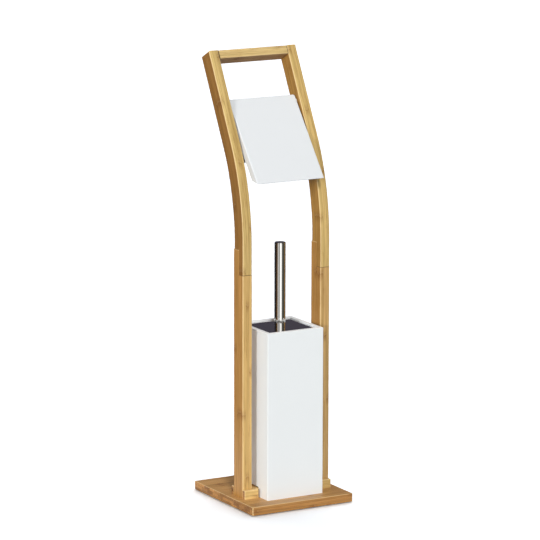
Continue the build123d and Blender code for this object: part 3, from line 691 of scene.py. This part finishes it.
def tuft_tree(bristle_white):
    """Bristle tufts from the core to the head's outline: a Geometry Nodes tree with its sizes as inputs."""
    tree = bpy.data.node_groups.new("bristle_tufts", "GeometryNodeTree")
    sizes = ("Core radius", "Core bottom", "Head radius", "Head bottom", "Head top", "Dome", "Shoulder",
             "Centre Y", "Filament", "Tuft radius")
    tree.interface.new_socket("Tufts", in_out="INPUT", socket_type="NodeSocketInt")
    tree.interface.new_socket("Seed", in_out="INPUT", socket_type="NodeSocketInt")
    for name in sizes:
        tree.interface.new_socket(name, in_out="INPUT", socket_type="NodeSocketFloat")
    tree.interface.new_socket("Geometry", in_out="OUTPUT", socket_type="NodeSocketGeometry")
    given = add_node(tree, "NodeGroupInput").outputs
    out = add_node(tree, "NodeGroupOutput").inputs

    # One tuft: seven filaments a metre long, six of them in a ring that opens towards their ends
    opening = 2.4
    ring = add_node(tree, "GeometryNodeMeshCircle", {"Vertices": 6, "Radius": given["Tuft radius"]})
    middle = add_node(tree, "GeometryNodePoints", {"Count": 1})
    roots = add_node(tree, "GeometryNodeMeshToPoints", {"Mesh": ring.outputs[0]})
    pinch = add_node(tree, "GeometryNodeJoinGeometry")
    tree.links.new(roots.outputs[0], pinch.inputs[0])
    tree.links.new(middle.outputs[0], pinch.inputs[0])
    filament = add_node(tree, "GeometryNodeMeshCylinder",
                        {"Vertices": 3, "Radius": given["Filament"], "Depth": 1.0}, fill_type="TRIANGLE_FAN")
    raised = add_node(tree, "GeometryNodeTransform", {"Geometry": filament.outputs[0],
                                                      "Translation": (0, 0, 0.5)})
    strands = add_node(tree, "GeometryNodeInstanceOnPoints", {"Points": pinch.outputs[0],
                                                              "Instance": raised.outputs[0]})
    strands = add_node(tree, "GeometryNodeRealizeInstances", {"Geometry": strands.outputs[0]})
    spot = add_node(tree, "GeometryNodeInputPosition")
    spot_parts = add_node(tree, "ShaderNodeSeparateXYZ", {0: spot.outputs[0]}).outputs
    spread = calc(tree, "MULTIPLY_ADD", spot_parts["Z"], opening, 1.0)
    wide = add_node(tree, "ShaderNodeCombineXYZ", {"X": calc(tree, "MULTIPLY", spot_parts["X"], spread),
                                                   "Y": calc(tree, "MULTIPLY", spot_parts["Y"], spread),
                                                   "Z": spot_parts["Z"]})
    tuft = add_node(tree, "GeometryNodeSetPosition", {"Geometry": strands.outputs[0],
                                                      "Position": wide.outputs[0]})

    # Where each tuft ends on the outline. They wind round by the golden angle, and the first ones, this share
    # of them, cover the domed tip. Their cut ends are a little ragged.
    golden_angle = 2.399963
    tip_share = 0.26
    ragged = 0.0012
    number = add_node(tree, "GeometryNodeInputIndex").outputs[0]
    share = calc(tree, "DIVIDE", calc(tree, "ADD", number, 0.5), given["Tufts"])
    jitter = add_node(tree, "FunctionNodeRandomValue", {"Seed": given["Seed"]}, data_type="FLOAT")
    loose = varied(tree, jitter.outputs[1], 0.0, 0.5)
    around = calc(tree, "MULTIPLY_ADD", number, golden_angle, calc(tree, "MULTIPLY", loose, 0.3))
    low_share = calc(tree, "MINIMUM", calc(tree, "DIVIDE", share, tip_share), 1.0)
    outwards = calc(tree, "SQRT", low_share)
    swing = calc(tree, "MULTIPLY", outwards, math.pi / 2)
    high_share = calc(tree, "DIVIDE", calc(tree, "MAXIMUM", calc(tree, "SUBTRACT", share, tip_share), 0.0),
                      1 - tip_share)
    dome_lift = calc(tree, "SUBTRACT", 1.0, calc(tree, "COSINE", swing))
    dome_lift = calc(tree, "MULTIPLY", given["Dome"], dome_lift)
    side_height = calc(tree, "SUBTRACT", calc(tree, "SUBTRACT", given["Head top"], given["Head bottom"]),
                       given["Dome"])
    side_lift = calc(tree, "MULTIPLY", high_share, calc(tree, "MULTIPLY", side_height, 0.97))
    end_height = calc(tree, "ADD", calc(tree, "ADD", given["Head bottom"], dome_lift), side_lift)
    shoulder_height = calc(tree, "SUBTRACT", given["Head top"], given["Shoulder"])
    near_top = calc(tree, "MAXIMUM", calc(tree, "SUBTRACT", end_height, shoulder_height), 0.0)
    end_radius = calc(tree, "MULTIPLY", given["Head radius"], calc(tree, "SINE", swing))
    end_radius = calc(tree, "SUBTRACT", end_radius, calc(tree, "ADD", near_top, ragged))
    end_radius = calc(tree, "SUBTRACT", end_radius, calc(tree, "MULTIPLY", jitter.outputs[1], ragged))
    end_radius = calc(tree, "MAXIMUM", end_radius, 0.0005)

    # Where each tuft starts on the core, which ends a little below the head's top
    root_share = calc(tree, "MINIMUM", calc(tree, "MULTIPLY", outwards, 1.25), 1.0)
    root_radius = calc(tree, "MULTIPLY", given["Core radius"], root_share)
    core_height = calc(tree, "SUBTRACT", given["Head top"], given["Core bottom"])
    core_height = calc(tree, "SUBTRACT", core_height, 0.004)
    root_height = calc(tree, "MULTIPLY_ADD", calc(tree, "POWER", high_share, 1.05), core_height,
                       given["Core bottom"])

    def ringed(radius, height):
        across = calc(tree, "MULTIPLY", radius, calc(tree, "COSINE", around))
        deep = calc(tree, "MULTIPLY_ADD", radius, calc(tree, "SINE", around), given["Centre Y"])
        return add_node(tree, "ShaderNodeCombineXYZ", {"X": across, "Y": deep, "Z": height}).outputs[0]

    root = ringed(root_radius, root_height)
    end = ringed(end_radius, end_height)
    reach = add_node(tree, "ShaderNodeVectorMath", {0: end, 1: root}, operation="SUBTRACT").outputs[0]
    length = add_node(tree, "ShaderNodeVectorMath", {0: reach}, operation="LENGTH").outputs["Value"]
    points = add_node(tree, "GeometryNodePoints", {"Count": given["Tufts"], "Position": root})
    aim = add_node(tree, "FunctionNodeAlignRotationToVector", {"Vector": reach}, axis="Z")
    size = add_node(tree, "ShaderNodeCombineXYZ", {"X": 1.0, "Y": 1.0, "Z": length})
    tufts = add_node(tree, "GeometryNodeInstanceOnPoints",
                     {"Points": points.outputs[0], "Instance": tuft.outputs[0],
                      "Rotation": aim.outputs[0], "Scale": size.outputs[0]})
    solid = add_node(tree, "GeometryNodeRealizeInstances", {"Geometry": tufts.outputs[0]})
    painted = add_node(tree, "GeometryNodeSetMaterial", {"Geometry": solid.outputs[0],
                                                         "Material": bristle_white})
    feed(tree, out["Geometry"], painted.outputs[0])
    return tree


head_low, head_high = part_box("bristles")
bristle_white = plain_finish("bristle_nylon", shade(240, 240, 238), 0.45, grain_size=0.004, tone=0.06)
head_sizes = {"Tufts": 760, "Seed": 4, "Core radius": 0.009, "Core bottom": head_low.z + 0.009,
              "Head radius": (head_high.x - head_low.x) / 2, "Head bottom": head_low.z,
              "Head top": head_high.z, "Dome": 0.022, "Shoulder": 0.005,
              "Centre Y": (head_low.y + head_high.y) / 2,
              "Filament": 0.00021, "Tuft radius": 0.0008}
tufts = tuft_tree(bristle_white)
seed_mesh = bpy.data.meshes.new("bristle_seed")
seed = bpy.data.objects.new("bristle_seed", seed_mesh)
bpy.context.scene.collection.objects.link(seed)
grower = seed.modifiers.new("tufts", "NODES")
grower.node_group = tufts
for item in tufts.interface.items_tree:
    if item.item_type == "SOCKET" and item.in_out == "INPUT":
        grower[item.identifier] = head_sizes[item.name]
view_layer = bpy.context.view_layer
view_layer.update()
grown = bpy.data.meshes.new_from_object(seed.evaluated_get(bpy.context.evaluated_depsgraph_get()))
bpy.data.objects.remove(seed)
brush_head = bpy.data.objects.new("brush_head", grown)
bpy.context.scene.collection.objects.link(brush_head)
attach(brush_head, "brush")
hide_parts("bristles")
